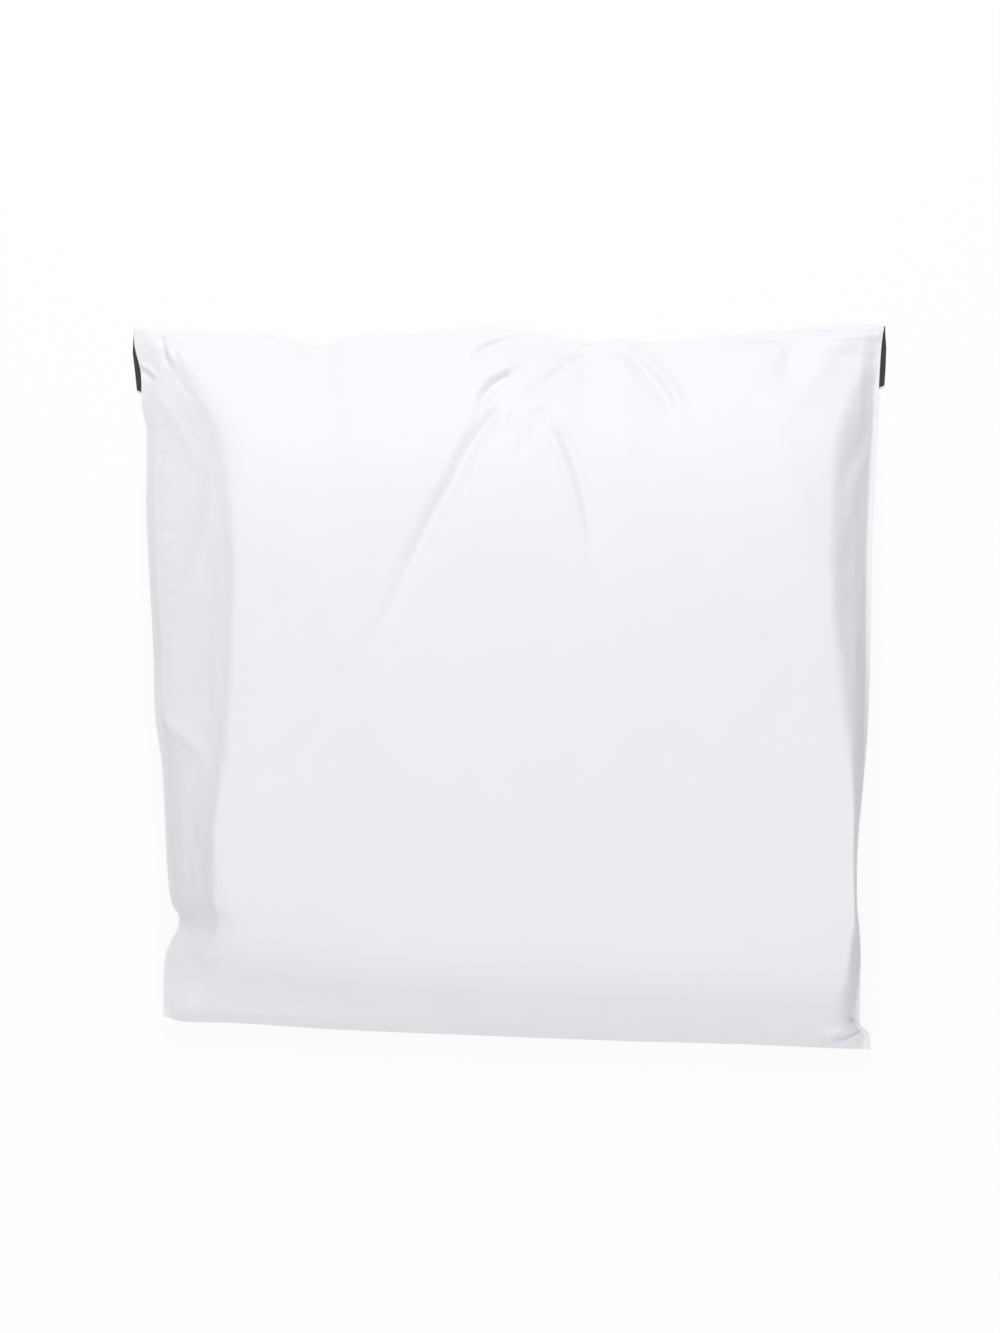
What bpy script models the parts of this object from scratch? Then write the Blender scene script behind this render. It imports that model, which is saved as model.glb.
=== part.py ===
"""A filled poly mailer bag, sealed and lying on its back, as one closed solid.

One film makes the whole bag: it is folded at the bottom, welded down both sides, folded over at the
top and stuck down behind with its own flap. Lengths are in metres. X runs across the bag, Y along it
towards the top fold and Z up from the surface that it lies on. The origin is under its middle.

The solid is one thick sheet. Its outer side is the front panel, the roll of the top fold and the
flap's outside. Its inner side is the back panel, the crease inside the fold and the flap's inside.
"""

import math
from typing import NamedTuple

import bmesh
import bpy

# The bag, measured flat
BAG_WIDTH = 0.610
BAG_LENGTH = 0.610
FLAP_DEPTH = 0.052
HEM_WIDTH = 0.006

# Thicknesses: the film is drawn thicker than the real 0.06 mm, so that its edges are solid
HEM_THICKNESS = 0.0010
FLAP_THICKNESS = 0.0008
FLAP_GAP = 0.0004
MOUTH_THICKNESS = 0.0016

# What fills the bag, and how the film runs from it to the edges
FILL_DEPTH = 0.064
FILL_CROWN = 0.006
SEAM_LIFT = 0.020
LEFT_HEM_DROOP = 0.003
BACK_CORNER = 0.034
BACK_RAMP = 0.030

# Sides of the filled bag: share of the length from the top, pull inwards from the flat edge
LEFT_PULL = (
    (0.00, 0.0000), (0.03, 0.0008), (0.062, 0.0056), (0.115, 0.0068), (0.135, 0.0105),
    (0.25, 0.0108), (0.43, 0.0170), (0.52, 0.0185), (0.59, 0.0245), (0.71, 0.0280),
    (0.77, 0.0320), (0.791, 0.0395), (0.832, 0.0275), (0.90, 0.0250), (1.00, 0.0255),
)
RIGHT_PULL = (
    (0.00, 0.0000), (0.016, 0.0022), (0.07, 0.0046), (0.12, 0.0056), (0.20, 0.0090),
    (0.29, 0.0121), (0.385, 0.0130), (0.53, 0.0152), (0.61, 0.0190), (0.69, 0.0234),
    (0.77, 0.0238), (0.82, 0.0212), (0.915, 0.0220), (0.928, 0.0226), (0.942, 0.0139), (1.00, 0.0137),
)
# Ends of the filled bag: share of the width from the left, pull inwards from the flat end
TOP_DIP = (
    (0.00, 0.0044), (0.06, 0.0078), (0.14, 0.0094), (0.20, 0.0132), (0.256, 0.0208),
    (0.275, 0.0142), (0.32, 0.0106), (0.39, 0.0086), (0.475, 0.0042), (0.53, 0.0085), (0.61, 0.0168),
    (0.645, 0.0128), (0.685, 0.0165), (0.75, 0.0133), (0.91, 0.0038), (1.00, 0.0010),
)
BOTTOM_RISE = (
    (0.00, 0.0500), (0.03, 0.0455), (0.10, 0.0445), (0.25, 0.0390), (0.50, 0.0330),
    (0.66, 0.0295), (0.82, 0.0270), (0.92, 0.0245), (1.00, 0.0225),
)
# Ends of the flap: share of its depth from the fold, pull inwards from the flat edge
FLAP_LEFT_PULL = ((0.0, 0.0000), (0.3, -0.0012), (0.6, 0.0005), (1.0, 0.0027))
FLAP_RIGHT_PULL = ((0.0, 0.0000), (0.2, -0.0012), (0.6, -0.0008), (1.0, 0.0006))

# Width of the film's slope from each edge up to the fill's shoulder, along that edge
LEFT_SLOPE = (
    (0.0, 0.080), (0.20, 0.074), (0.52, 0.066), (0.59, 0.053), (0.70, 0.038),
    (0.79, 0.035), (0.84, 0.046), (0.90, 0.056), (1.0, 0.058),
)
RIGHT_SLOPE = (
    (0.0, 0.120), (0.10, 0.100), (0.18, 0.064), (0.26, 0.040), (0.37, 0.030), (0.45, 0.019),
    (0.70, 0.014), (0.86, 0.016), (1.0, 0.024),
)
TOP_SLOPE = ((0.0, 0.125), (0.35, 0.118), (0.60, 0.110), (0.85, 0.125), (1.0, 0.135))
BOTTOM_SLOPE = ((0.0, 0.062), (0.40, 0.052), (0.80, 0.050), (1.0, 0.054))
# Form of the film's slope from each edge: how hollow it is, and how crisp the shoulder over it is
LEFT_HOLLOW = ((0.0, 1.30), (0.48, 1.38), (0.62, 1.00), (1.0, 0.95))
LEFT_CRISP = 14.0
RIGHT_FORM = (1.25, 9.0)
TOP_FORM = (0.95, 3.0)
BOTTOM_FORM = (0.90, 3.0)
CORNER_CRISPNESS = 9.0
# Height of the side seams along the bag, as a share of SEAM_LIFT
LIFT_ALONG = ((0.0, 0.0), (0.10, 0.05), (0.30, 0.75), (0.55, 1.0), (0.85, 0.9), (1.0, 0.45))


class Fold(NamedTuple):
    """A crease in the front panel, which carrying the bag has left."""

    anchor: tuple  # share of the flat width and length that the route is measured from
    route: tuple  # points (across, down) from the anchor
    height: float  # above zero for a ridge, below zero for a valley
    half_width: float


TOP_MIDDLE = (0.5, 0.0)
TOP_LEFT = (0.0, 0.0)
TOP_RIGHT = (1.0, 0.0)
LEFT_CROSSING = (0.0, 0.525)
LEFT_NOTCH = (0.0, 0.791)
EAR_CORNER = (1.0, 0.93)

FOLDS = {
    "grip_hollow": Fold(
        TOP_MIDDLE, ((0.084, 0.010), (0.057, 0.024), (0.031, 0.040), (0.004, 0.065)), -0.0085, 0.0120
    ),
    "grip_lip": Fold(TOP_MIDDLE, ((0.062, 0.040), (0.036, 0.058), (0.014, 0.078)), 0.0040, 0.0100),
    "long_valley": Fold(
        TOP_MIDDLE,
        ((-0.002, 0.064), (-0.032, 0.104), (-0.058, 0.151), (-0.086, 0.212), (-0.112, 0.270)),
        -0.0065,
        0.0085,
    ),
    "long_ridge": Fold(
        TOP_MIDDLE, ((-0.016, 0.072), (-0.044, 0.108), (-0.070, 0.152), (-0.098, 0.212)), 0.0026, 0.0100
    ),
    "short_valley": Fold(
        TOP_MIDDLE,
        ((0.029, 0.077), (0.049, 0.107), (0.057, 0.147), (0.063, 0.195), (0.067, 0.250)),
        -0.0045,
        0.0085,
    ),
    "upper_gather": Fold(TOP_MIDDLE, ((0.022, 0.008), (-0.008, 0.017), (-0.026, 0.034)), -0.0052, 0.0075),
    "lower_gather": Fold(TOP_MIDDLE, ((0.012, 0.038), (-0.012, 0.056), (-0.028, 0.076)), -0.0052, 0.0070),
    "gather_ridge": Fold(TOP_MIDDLE, ((0.016, 0.024), (-0.012, 0.036), (-0.032, 0.058)), 0.0042, 0.0075),
    "outer_gather": Fold(
        TOP_MIDDLE, ((0.086, 0.008), (0.108, 0.026), (0.124, 0.046), (0.135, 0.072)), -0.0050, 0.0085
    ),
    "outer_ridge": Fold(TOP_MIDDLE, ((0.070, 0.006), (0.094, 0.030), (0.108, 0.056)), 0.0045, 0.0100),
    "left_corner_crease": Fold(
        TOP_LEFT, ((0.024, 0.006), (0.028, 0.029), (0.042, 0.051), (0.073, 0.090)), -0.0036, 0.0090
    ),
    "right_corner_dent": Fold(
        TOP_RIGHT, ((-0.071, 0.004), (-0.077, 0.030), (-0.091, 0.060)), -0.0050, 0.0130
    ),
    "right_facet": Fold(
        TOP_RIGHT, ((-0.009, 0.084), (-0.031, 0.118), (-0.043, 0.160), (-0.039, 0.224)), -0.0040, 0.0100
    ),
    "left_cross_crease": Fold(
        LEFT_CROSSING, ((0.015, -0.002), (0.043, 0.016), (0.073, 0.042)), -0.0050, 0.0110
    ),
    "notch_crease": Fold(LEFT_NOTCH, ((0.035, -0.003), (0.057, 0.012), (0.087, 0.049)), -0.0028, 0.0095),
    "ear_crease": Fold(EAR_CORNER, ((-0.021, 0.000), (-0.035, 0.010), (-0.053, 0.016)), -0.0050, 0.0060),
}
# Fullness under the front panel at which a fold is drawn at its whole height
FOLD_FULL_DEPTH = 0.018

# How finely the sheet is divided, and how much closer its lines lie near the edges
COLUMNS = 48
BODY_ROWS = 52
FOLD_ROWS = 3
FLAP_ROWS = 3
EDGE_CROWDING = 0.45

FILM_WHITE = (0.845, 0.860, 0.885, 1.0)
LINING_GREY = (0.035, 0.034, 0.035, 1.0)
FILM_ROUGHNESS = 0.38


def curve_value(stops, share):
    """The value at a share along a smooth curve through (share, value) stops."""
    last = len(stops) - 1
    share = min(max(share, stops[0][0]), stops[last][0])
    spot = next(i for i in range(last) if share <= stops[i + 1][0])

    def slope(i):
        low, high = max(i - 1, 0), min(i + 1, last)
        return (stops[high][1] - stops[low][1]) / (stops[high][0] - stops[low][0])

    step = stops[spot + 1][0] - stops[spot][0]
    u = (share - stops[spot][0]) / step
    start, end = stops[spot][1], stops[spot + 1][1]
    return (
        start * (1 + 2 * u) * (1 - u) ** 2
        + end * u * u * (3 - 2 * u)
        + step * u * (1 - u) * ((1 - u) * slope(spot) - u * slope(spot + 1))
    )


def smooth(value):
    """Nought to one, level at both ends."""
    value = min(max(value, 0.0), 1.0)
    return value * value * (3 - 2 * value)


def mix(low, high, share):
    """A value part of the way from low to high."""
    return low + (high - low) * share


def side_edges(down):
    """X of the filled bag's left and right edges, that far down from the top line."""
    along = down / BAG_LENGTH
    return -BAG_WIDTH / 2 + curve_value(LEFT_PULL, along), BAG_WIDTH / 2 - curve_value(RIGHT_PULL, along)


def fill_share(across, along, from_edges):
    """How full the bag is, from 0 at its edges to 1 over the fill.

    from_edges holds the distances from the left, right, top and bottom edges.
    """
    slopes = (
        curve_value(LEFT_SLOPE, along),
        curve_value(RIGHT_SLOPE, along),
        curve_value(TOP_SLOPE, across),
        curve_value(BOTTOM_SLOPE, across),
    )
    left_form = (curve_value(LEFT_HOLLOW, along), LEFT_CRISP)
    forms = (left_form, RIGHT_FORM, TOP_FORM, BOTTOM_FORM)
    total = 1.0
    for distance, slope, (hollow, crisp) in zip(from_edges, slopes, forms):
        if distance <= 0:
            return 0.0
        rise = (1 + (distance / slope) ** (-hollow * crisp)) ** (-1 / crisp)
        total += rise**-CORNER_CRISPNESS - 1
    return total ** (-1 / CORNER_CRISPNESS)


def nearest_on(route, x, down):
    """How far a place is from a route, and how far along the route it is, from 0 to 1."""
    legs = list(zip(route, route[1:]))
    whole = sum(math.dist(*leg) for leg in legs)
    best, passed = (math.inf, 0.0), 0.0
    for (x0, y0), (x1, y1) in legs:
        length = math.dist((x0, y0), (x1, y1))
        part = ((x - x0) * (x1 - x0) + (down - y0) * (y1 - y0)) / length**2
        part = min(max(part, 0.0), 1.0)
        gap = math.dist((x, down), (mix(x0, x1, part), mix(y0, y1, part)))
        best = min(best, (gap, (passed + part * length) / whole))
        passed += length
    return best


def fold_height(x, down):
    """Height that the folds add to the front panel at a place."""
    total = 0.0
    for fold in FOLDS.values():
        anchor_x = (fold.anchor[0] - 0.5) * BAG_WIDTH
        anchor_down = fold.anchor[1] * BAG_LENGTH
        gap, share = nearest_on(fold.route, x - anchor_x, down - anchor_down)
        fade = smooth(4 * share) * smooth(2 * (1 - share))
        total += fold.height * fade * math.exp(-((gap / fold.half_width) ** 2))
    return total


def body_points(across, share):
    """Front and back points of the bag's body, at shares of its width and of its length."""
    top = curve_value(TOP_DIP, across)
    bottom = BAG_LENGTH - curve_value(BOTTOM_RISE, across)
    down = mix(top, bottom, share)
    left, right = side_edges(down)
    x = mix(left, right, across)

    inside = [distance / BACK_CORNER for distance in (x - left, right - x, bottom - down)]
    rested = math.prod(smooth(part) for part in inside)
    lift = SEAM_LIFT * curve_value(LIFT_ALONG, down / BAG_LENGTH)
    droop = LEFT_HEM_DROOP * max(0.0, 1 - (x - left) / HEM_WIDTH) * lift / SEAM_LIFT
    on_flap = 1 - smooth((down - top - FLAP_DEPTH - FLAP_GAP) / BACK_RAMP)
    back = lift * (1 - rested) - droop + (FLAP_THICKNESS + FLAP_GAP) * on_flap

    from_edges = (x - left - HEM_WIDTH, right - x - HEM_WIDTH, down - top, bottom - down)
    full = fill_share(across, down / BAG_LENGTH, from_edges)
    crown = FILL_CROWN * math.sin(math.pi * across) * math.sin(math.pi * share)
    fullness = (FILL_DEPTH + crown - lift * (1 - rested)) * full
    film = mix(MOUTH_THICKNESS, HEM_THICKNESS, smooth(down / FLAP_DEPTH))
    creased = fold_height(x, down) * min(1.0, fullness / FOLD_FULL_DEPTH)
    return (x, -down, back + film + fullness + creased), (x, -down, back)


def fold_points(across, turn):
    """Outer and inner points round the roll of the top fold, at a share of its half turn."""
    x = mix(-BAG_WIDTH / 2, BAG_WIDTH / 2, across)
    line = -curve_value(TOP_DIP, across)
    outer_radius = (MOUTH_THICKNESS + FLAP_GAP + FLAP_THICKNESS) / 2
    inner_radius = FLAP_GAP / 2
    out, up = math.sin(math.pi * turn), math.cos(math.pi * turn)
    outer = (x, line + outer_radius * out, outer_radius * (1 + up))
    inner = (x, line + inner_radius * out, FLAP_THICKNESS + inner_radius * (1 + up))
    return outer, inner


def flap_points(across, reach):
    """Outer and inner points of the flap, at a share of its depth from the fold."""
    left = -BAG_WIDTH / 2 + curve_value(FLAP_LEFT_PULL, reach)
    right = BAG_WIDTH / 2 - curve_value(FLAP_RIGHT_PULL, reach)
    x = mix(left, right, across)
    y = -curve_value(TOP_DIP, across) - FLAP_DEPTH * reach
    return (x, y, 0.0), (x, y, FLAP_THICKNESS)


def crowded(count):
    """Evenly numbered shares from 0 to 1 that lie closer together near both ends."""
    shares = [i / count for i in range(count + 1)]
    return [mix(s, (1 - math.cos(math.pi * s)) / 2, EDGE_CROWDING) for s in shares]


def column_shares():
    """Shares of the width where the sheet is divided, with a narrow hem at each side."""
    hem = HEM_WIDTH / BAG_WIDTH
    return [0.0, *(mix(hem, 1 - hem, share) for share in crowded(COLUMNS)), 1.0]


def sheet_column(across):
    """Outer and inner points of one column, from the bottom fold to the flap's free edge."""
    column = [body_points(across, 1 - share) for share in crowded(BODY_ROWS)]
    column += [fold_points(across, i / (FOLD_ROWS + 1)) for i in range(1, FOLD_ROWS + 1)]
    column += [flap_points(across, i / FLAP_ROWS) for i in range(FLAP_ROWS + 1)]
    return column


def middle_of(columns):
    """X and Y of the middle of the box round the sheet."""
    points = [point for column in columns for pair in column for point in pair]
    return [(min(p[k] for p in points) + max(p[k] for p in points)) / 2 for k in range(2)]


def add_side(form, columns, side, middle):
    """The vertices of one side of the sheet, joined into a grid of quads."""
    grid = []
    for column in columns:
        spots = [pair[side] for pair in column]
        grid.append([form.verts.new((x - middle[0], y - middle[1], z)) for x, y, z in spots])
    for left, right in zip(grid, grid[1:]):
        for i in range(len(left) - 1):
            form.faces.new((left[i], right[i], right[i + 1], left[i + 1]))
    return grid


def add_rim(form, outer, inner):
    """The sheet's edge, all the way round between its outer and inner sides."""

    def border(grid):
        bottom = [column[0] for column in grid]
        free = [column[-1] for column in grid]
        return bottom + grid[-1][1:-1] + free[::-1] + grid[0][-2:0:-1]

    outside, inside = border(outer), border(inner)
    for i in range(len(outside)):
        form.faces.new((outside[i - 1], inside[i - 1], inside[i], outside[i]))


def line_flap(form, inner):
    """Give the flap's inside its own material slot."""
    first = BODY_ROWS + FOLD_ROWS
    flap = {vert for column in inner for vert in column[first:]}
    for face in form.faces:
        if flap.issuperset(face.verts):
            face.material_index = 1


def film_material(name, colour):
    """Polythene film, smooth and slightly glossy."""
    material = bpy.data.materials.new(name)
    material.use_nodes = True
    shader = material.node_tree.nodes["Principled BSDF"]
    shader.inputs["Base Color"].default_value = colour
    shader.inputs["Roughness"].default_value = FILM_ROUGHNESS
    shader.inputs["Metallic"].default_value = 0.0
    return material


def make_bag():
    """The whole bag: body, top fold and flap."""
    columns = [sheet_column(across) for across in column_shares()]
    middle = middle_of(columns)
    form = bmesh.new()
    outer = add_side(form, columns, 0, middle)
    inner = add_side(form, columns, 1, middle)
    add_rim(form, outer, inner)
    line_flap(form, inner)
    bmesh.ops.recalc_face_normals(form, faces=form.faces)
    mesh = bpy.data.meshes.new("mailer_bag")
    form.to_mesh(mesh)
    form.free()
    mesh.shade_smooth()
    mesh.set_sharp_from_angle(angle=math.radians(50))
    mesh.materials.append(film_material("white_film", FILM_WHITE))
    mesh.materials.append(film_material("dark_lining", LINING_GREY))
    bag = bpy.data.objects.new("mailer_bag", mesh)
    bpy.context.scene.collection.objects.link(bag)


for leftover in list(bpy.data.objects):
    bpy.data.objects.remove(leftover)
make_bag()
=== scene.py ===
"""The looks of a filled poly mailer bag that lies on its back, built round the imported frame.

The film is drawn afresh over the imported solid: its outline and heights are read from the solid, and
the fine creases, the welds, the flap's stuck-down strip and the film's own slack are added here.
"""

import logging
import math
from collections.abc import Callable
from dataclasses import dataclass, field
from enum import Enum

import bpy
import numpy as np
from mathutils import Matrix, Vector
from mathutils.bvhtree import BVHTree


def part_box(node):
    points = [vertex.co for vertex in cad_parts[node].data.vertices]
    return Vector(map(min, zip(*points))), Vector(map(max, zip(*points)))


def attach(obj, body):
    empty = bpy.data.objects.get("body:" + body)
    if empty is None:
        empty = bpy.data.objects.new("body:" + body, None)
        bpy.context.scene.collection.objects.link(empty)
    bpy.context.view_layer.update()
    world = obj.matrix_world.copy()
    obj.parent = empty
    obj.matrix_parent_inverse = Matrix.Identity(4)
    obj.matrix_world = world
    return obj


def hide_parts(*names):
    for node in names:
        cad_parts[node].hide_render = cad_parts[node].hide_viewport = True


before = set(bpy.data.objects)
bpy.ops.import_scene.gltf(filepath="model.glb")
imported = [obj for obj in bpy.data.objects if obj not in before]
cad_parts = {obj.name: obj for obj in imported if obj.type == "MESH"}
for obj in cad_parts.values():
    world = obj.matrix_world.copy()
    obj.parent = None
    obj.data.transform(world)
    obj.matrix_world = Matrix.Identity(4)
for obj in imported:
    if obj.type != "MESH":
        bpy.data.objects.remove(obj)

Stops = tuple[tuple[float, float], ...]

NODE = "mailer_bag"
BODY = "root"
MM = 0.001
RAY_START = 1.0
# The flap's inner face and the back panel over it lie just below and just above this height
FLAP_TOP = 1.0 * MM
# A surface met from below that is lower than this is the flap's, which lies on the ground
ON_GROUND = 0.1 * MM
# Outside and inside radius of the top fold's roll, and the height of the flap's inner face
ROLL_RADIUS = 1.4 * MM
CREASE_RADIUS = 0.2 * MM
FLAP_THICKNESS = 0.8 * MM
# Halvings in a search for an edge. Each leaves less than a thousandth of a millimetre
EDGE_HALVINGS = 22
FLAP_HALVINGS = 18
FLAP_END_HALVINGS = 20
log = logging.getLogger("mailer")


def linear(colour: str) -> tuple[float, float, float, float]:
    """An sRGB hex colour as linear red, green, blue and alpha.

    Args:
        colour: Six hex digits, with or without a leading hash.

    Returns:
        Four numbers from 0 to 1.
    """
    digits = colour.lstrip("#")
    parts = [int(digits[i : i + 2], 16) / 255 for i in (0, 2, 4)]
    red, green, blue = (p / 12.92 if p <= 0.04045 else ((p + 0.055) / 1.055) ** 2.4 for p in parts)
    return red, green, blue, 1.0


def smooth(value: np.ndarray | float) -> np.ndarray:
    """Nought to one, level at both ends."""
    value = np.clip(value, 0.0, 1.0)
    return value * value * (3 - 2 * value)


def add_node(tree: bpy.types.NodeTree, kind: str, links: dict | None = None, **settings) -> bpy.types.Node:
    """Add one node to a tree, with its settings and links.

    Args:
        tree: The shader or geometry tree.
        kind: The node's Blender type name.
        links: Input name or index to a value, or to the output socket that feeds it.
        settings: Properties of the node itself.

    Returns:
        The new node.
    """
    node = tree.nodes.new(kind)
    for name, value in settings.items():
        setattr(node, name, value)
    for key, value in (links or {}).items():
        if isinstance(value, bpy.types.NodeSocket):
            tree.links.new(value, node.inputs[key])
        else:
            node.inputs[key].default_value = value
    return node


def add_noise(
    tree: bpy.types.NodeTree, place: bpy.types.NodeSocket, size: float, detail: float, roughness: float = 0.5
) -> bpy.types.NodeSocket:
    """The grey output of a noise whose blotches are about one size wide, in the units of its place."""
    inputs = {"Vector": place, "Scale": 1 / size, "Detail": detail, "Roughness": roughness}
    return add_node(tree, "ShaderNodeTexNoise", inputs).outputs["Fac"]


def add_blend(
    tree: bpy.types.NodeTree, share: bpy.types.NodeSocket, first: str, second: str
) -> bpy.types.NodeSocket:
    """The colour between two hex colours, at the share that a socket gives."""
    inputs = {"Factor": share, "A": linear(first), "B": linear(second)}
    return add_node(tree, "ShaderNodeMix", inputs, data_type="RGBA").outputs[2]


def add_relief(tree: bpy.types.NodeTree, height: bpy.types.NodeSocket, strength: float, depth: float) -> None:
    """Feed a height into the shader's normal, as a bump of the given strength and depth."""
    inputs = {"Height": height, "Strength": strength, "Distance": depth}
    normal = add_node(tree, "ShaderNodeBump", inputs).outputs["Normal"]
    tree.links.new(normal, tree.nodes["Principled BSDF"].inputs["Normal"])


def new_material(name: str) -> tuple[bpy.types.Material, bpy.types.NodeTree]:
    """A new material with nodes, and its tree."""
    material = bpy.data.materials.new(name)
    material.use_nodes = True
    return material, material.node_tree


def place_object(name: str, data: bpy.types.ID) -> bpy.types.Object:
    """Put a mesh, lamp or camera into the scene as a new object."""
    made = bpy.data.objects.new(name, data)
    bpy.context.scene.collection.objects.link(made)
    return made


def mesh_object(name: str, points: np.ndarray, faces: list, edges: tuple | list = ()) -> bpy.types.Object:
    """Put points, faces and loose edges into the scene as a new object."""
    mesh = bpy.data.meshes.new(name)
    mesh.from_pydata(points.tolist(), edges, faces)
    return place_object(name, mesh)


def numbered(points: np.ndarray, first: int = 0) -> np.ndarray:
    """Vertex numbers of a grid of points, by column and row."""
    shape = points.shape[:2]
    return first + np.arange(shape[0] * shape[1]).reshape(shape)


def grid_faces(index: np.ndarray) -> list[tuple[int, ...]]:
    """Quads between neighbouring columns and rows, facing up on the front panel."""
    corners = [index[:-1, :-1], index[1:, :-1], index[1:, 1:], index[:-1, 1:]]
    return list(zip(*(corner.ravel().tolist() for corner in corners)))


def border(index: np.ndarray) -> list[int]:
    """Vertex numbers all the way round a grid: bottom, right, free edge and left."""
    sides = [index[:, 0], index[-1, 1:-1], index[::-1, -1], index[0, -2:0:-1]]
    return np.concatenate(sides).tolist()


def furthest(inside: float, outside: float, holds: Callable[[float], bool], halvings: int) -> float:
    """The place nearest to outside at which a test that holds at inside still holds."""
    for _ in range(halvings):
        middle = (inside + outside) / 2
        if holds(middle):
            inside = middle
        else:
            outside = middle
    return inside


def relax(heights: np.ndarray, rounds: int) -> np.ndarray:
    """A grid of heights, each averaged with its neighbours so many times, with its border kept."""
    out = heights.copy()
    for _ in range(rounds):
        around = out[:-2, 1:-1] + out[2:, 1:-1] + out[1:-1, :-2] + out[1:-1, 2:]
        out[1:-1, 1:-1] = (out[1:-1, 1:-1] * 4 + around) / 8
    return out


def graded(count: int, stops: Stops) -> np.ndarray:
    """Shares from 0 to 1, closer together where a density is higher.

    Args:
        count: Number of stretches between the shares.
        stops: Share and density at each stop.

    Returns:
        An array of count + 1 shares.
    """
    fine = np.linspace(0.0, 1.0, 4001)
    places, densities = zip(*stops)
    density = np.interp(fine, places, densities)
    passed = np.concatenate([[0.0], np.cumsum((density[1:] + density[:-1]) / 2)])
    return np.interp(np.linspace(0.0, passed[-1], count + 1), passed, fine)


def resample(
    grid: np.ndarray, old: tuple[np.ndarray, np.ndarray], new: tuple[np.ndarray, np.ndarray]
) -> np.ndarray:
    """Values of a grid at other shares of its width and length.

    Args:
        grid: The values, by column and row.
        old: Shares at which its columns and its rows stand.
        new: Shares of the columns and rows that are wanted.

    Returns:
        A grid with one value for each wanted column and row.
    """
    rows = np.array([np.interp(new[1], old[1], line) for line in grid])
    return np.array([np.interp(new[0], old[0], line) for line in rows.T]).T


class FoldKind(Enum):
    """What a fold does to the film's height across its line."""

    VALLEY = "valley"
    RIDGE = "ridge"
    PLEAT = "pleat"


@dataclass(frozen=True)
class FilmFold:
    """One crease in the front panel, in millimetres from the middle of the bag's box.

    A pleat stands proud on the left of its route, seen along it, and sinks on the right.
    """

    kind: FoldKind
    route: tuple[tuple[float, float], ...]
    height: float
    half_width: float
    fade_in: float = 0.25
    fade_out: float = 0.5

    def line(self, steps: int = 36) -> np.ndarray:
        """Points in metres along a smooth curve through the route.

        Args:
            steps: Number of stretches between the points.

        Returns:
            An array of steps + 1 points.
        """
        route = np.array(self.route, float) * MM
        spans = np.concatenate([[0.0], np.cumsum(np.linalg.norm(np.diff(route, axis=0), axis=1))])
        at = np.linspace(0.0, spans[-1], steps + 1)
        points = np.column_stack([np.interp(at, spans, route[:, k]) for k in range(2)])
        for _ in range(3):
            points[1:-1] = (points[:-2] + 2 * points[1:-1] + points[2:]) / 4
        return points

    def lift(self, places: np.ndarray) -> np.ndarray:
        """Height that the fold adds at each place.

        Args:
            places: X and Y of each place, in metres.

        Returns:
            One height for each place, in metres.
        """
        line = self.line()
        starts, legs = line[:-1], np.diff(line, axis=0)
        lengths = np.linalg.norm(legs, axis=1)
        reach = 4 * self.half_width * MM
        near = np.all((places > line.min(0) - reach) & (places < line.max(0) + reach), axis=1)
        heights = np.zeros(len(places))
        if not near.any():
            return heights
        offsets = places[near][:, None, :] - starts[None, :, :]
        part = np.clip((offsets * legs).sum(2) / lengths**2, 0.0, 1.0)
        gaps = offsets - part[:, :, None] * legs
        distance = np.linalg.norm(gaps, axis=2)
        best = distance.argmin(1)
        rows = np.arange(len(best))
        passed = np.concatenate([[0.0], np.cumsum(lengths)])
        share = (passed[best] + part[rows, best] * lengths[best]) / passed[-1]
        side = legs[best, 0] * gaps[rows, best, 1] - legs[best, 1] * gaps[rows, best, 0]
        across = distance[rows, best] / (self.half_width * MM)
        fade = smooth(share / self.fade_in) * smooth((1 - share) / self.fade_out)
        profile = np.exp(-(across**1.7))
        if self.kind is FoldKind.PLEAT:
            profile = np.sign(side) * across * np.exp(0.5 - across**2 / 2)
        if self.kind is FoldKind.VALLEY:
            profile = -profile
        heights[near] = self.height * MM * fade * profile
        return heights


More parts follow.
